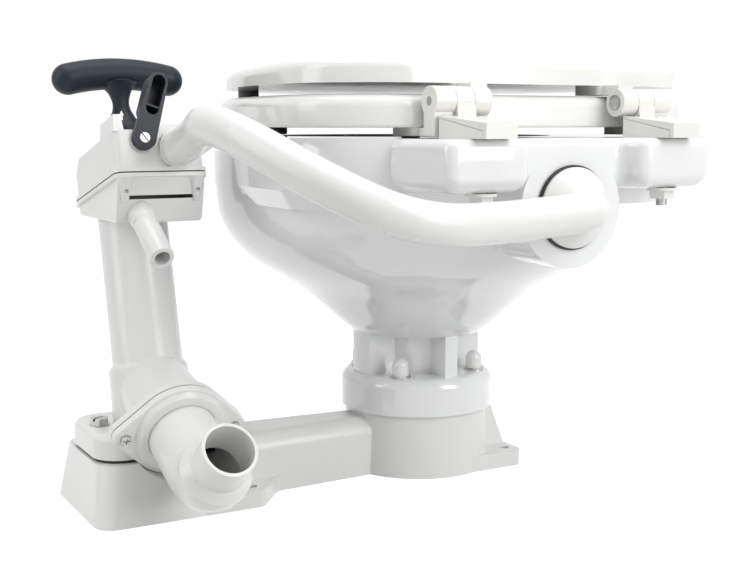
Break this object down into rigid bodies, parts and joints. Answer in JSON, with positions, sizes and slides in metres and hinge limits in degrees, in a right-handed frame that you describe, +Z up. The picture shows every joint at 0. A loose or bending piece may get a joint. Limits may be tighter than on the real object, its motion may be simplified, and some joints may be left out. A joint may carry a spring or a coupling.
{
  "type": "marine toilet",
  "caption": "Compact hand-pumped marine toilet: ceramic bowl with hinged seat and lid on a moulded base beside a leaning piston pump.",
  "frame": {"origin": "on the floor in the middle of the four floor bolts", "axes": "+Z up, -Y towards the front of the seat, +X towards the pump"},
  "size_m": [0.486, 0.4622, 0.3485],
  "materials": {
    "china": "glossy white glaze",
    "pump_plastic": "satin moulded white",
    "seat_plastic": "glossy moulded white",
    "hinge_plastic": "satin moulded white",
    "handle_plastic": "satin dark blue grey",
    "lever_plastic": "satin dark grey",
    "black_rubber": "matt",
    "grey_rubber": "matt",
    "white_hose": "satin",
    "stainless": "brushed",
    "brass": "plain",
    "piston_plastic": "plain"
  },
  "bodies": {
    "fixed": {"base_casting": "pump_plastic", "bowl": "china", "bowl_gasket": "black_rubber", "bowl_bolts": "stainless", "bowl_washers": "stainless", "bowl_nuts": "stainless", "bowl_nut_caps": "seat_plastic", "pump_cylinder": "pump_plastic", "pump_gasket": "black_rubber", "flap_weight": "brass", "pump_bolts": "stainless", "joker_valve": "black_rubber", "discharge_flange": "pump_plastic", "discharge_screws": "stainless", "pump_head": "pump_plastic", "head_gasket": "black_rubber", "head_cover": "pump_plastic", "cover_screws": "stainless", "rod_seal": "black_rubber", "bowl_hose": "white_hose", "inlet_gasket": "black_rubber", "inlet_elbow": "pump_plastic", "hinge_base_left": "hinge_plastic", "hinge_base_right": "hinge_plastic", "hinge_pins": "stainless", "hinge_bolts": "stainless", "hinge_nuts": "seat_plastic"},
    "seat_assembly": {"seat": "seat_plastic", "seat_bumpers": "grey_rubber", "seat_leaf_left": "hinge_plastic", "seat_leaf_right": "hinge_plastic", "seat_leaf_screws": "stainless"},
    "lid_assembly": {"lid": "seat_plastic", "lid_bumpers": "grey_rubber", "lid_leaf_left": "hinge_plastic", "lid_leaf_right": "hinge_plastic", "lid_leaf_screws": "stainless"},
    "left_cap": {"hinge_cap_left": "hinge_plastic"},
    "right_cap": {"hinge_cap_right": "hinge_plastic"},
    "pump_piston": {"piston": "piston_plastic", "piston_ring": "black_rubber"},
    "pump_handle": {"handle": "handle_plastic", "pump_rod": "stainless"},
    "selector": {"selector_lever": "lever_plastic", "selector_cam": "piston_plastic", "selector_screw": "stainless"},
    "discharge_turn": {"discharge_elbow": "pump_plastic"}
  },
  "joints": [
    {"name": "seat_hinge", "type": "hinge", "parent": "fixed", "child": "seat_assembly", "pos_m": [-0.058, 0.187, 0.31165], "axis": [-1, 0, 0], "range_deg": [0, 100]},
    {"name": "lid_hinge", "type": "hinge", "parent": "seat_assembly", "child": "lid_assembly", "pos_m": [-0.058, 0.187, 0.31165], "axis": [1, 0, 0], "range_deg": [-105, 0]},
    {"name": "left_cap_flip", "type": "hinge", "parent": "fixed", "child": "left_cap", "pos_m": [-0.139, 0.196, 0.3001], "axis": [1, 0, 0], "range_deg": [0, 35]},
    {"name": "right_cap_flip", "type": "hinge", "parent": "fixed", "child": "right_cap", "pos_m": [0.023, 0.196, 0.3001], "axis": [1, 0, 0], "range_deg": [0, 35]},
    {"name": "pump_stroke", "type": "slide", "parent": "fixed", "child": "pump_piston", "axis": [0, -0.2482, 0.9687], "range_m": [0, 0.13]},
    {"name": "handle_twist", "type": "hinge", "parent": "pump_piston", "child": "pump_handle", "pos_m": [0.184, -0.04611, 0.24009], "axis": [0, -0.2482, 0.9687], "range_deg": [0, 90]},
    {"name": "selector_turn", "type": "hinge", "parent": "fixed", "child": "selector", "pos_m": [0.1962, 0.02464, 0.28464], "axis": [0, 0.9687, 0.2482], "range_deg": [0, 33]},
    {"name": "elbow_swivel", "type": "hinge", "parent": "fixed", "child": "discharge_turn", "pos_m": [0.184, 0.0645, 0.0661], "axis": [0, 0.9245, -0.3811], "range_deg": [-60, 60]}
  ]
}
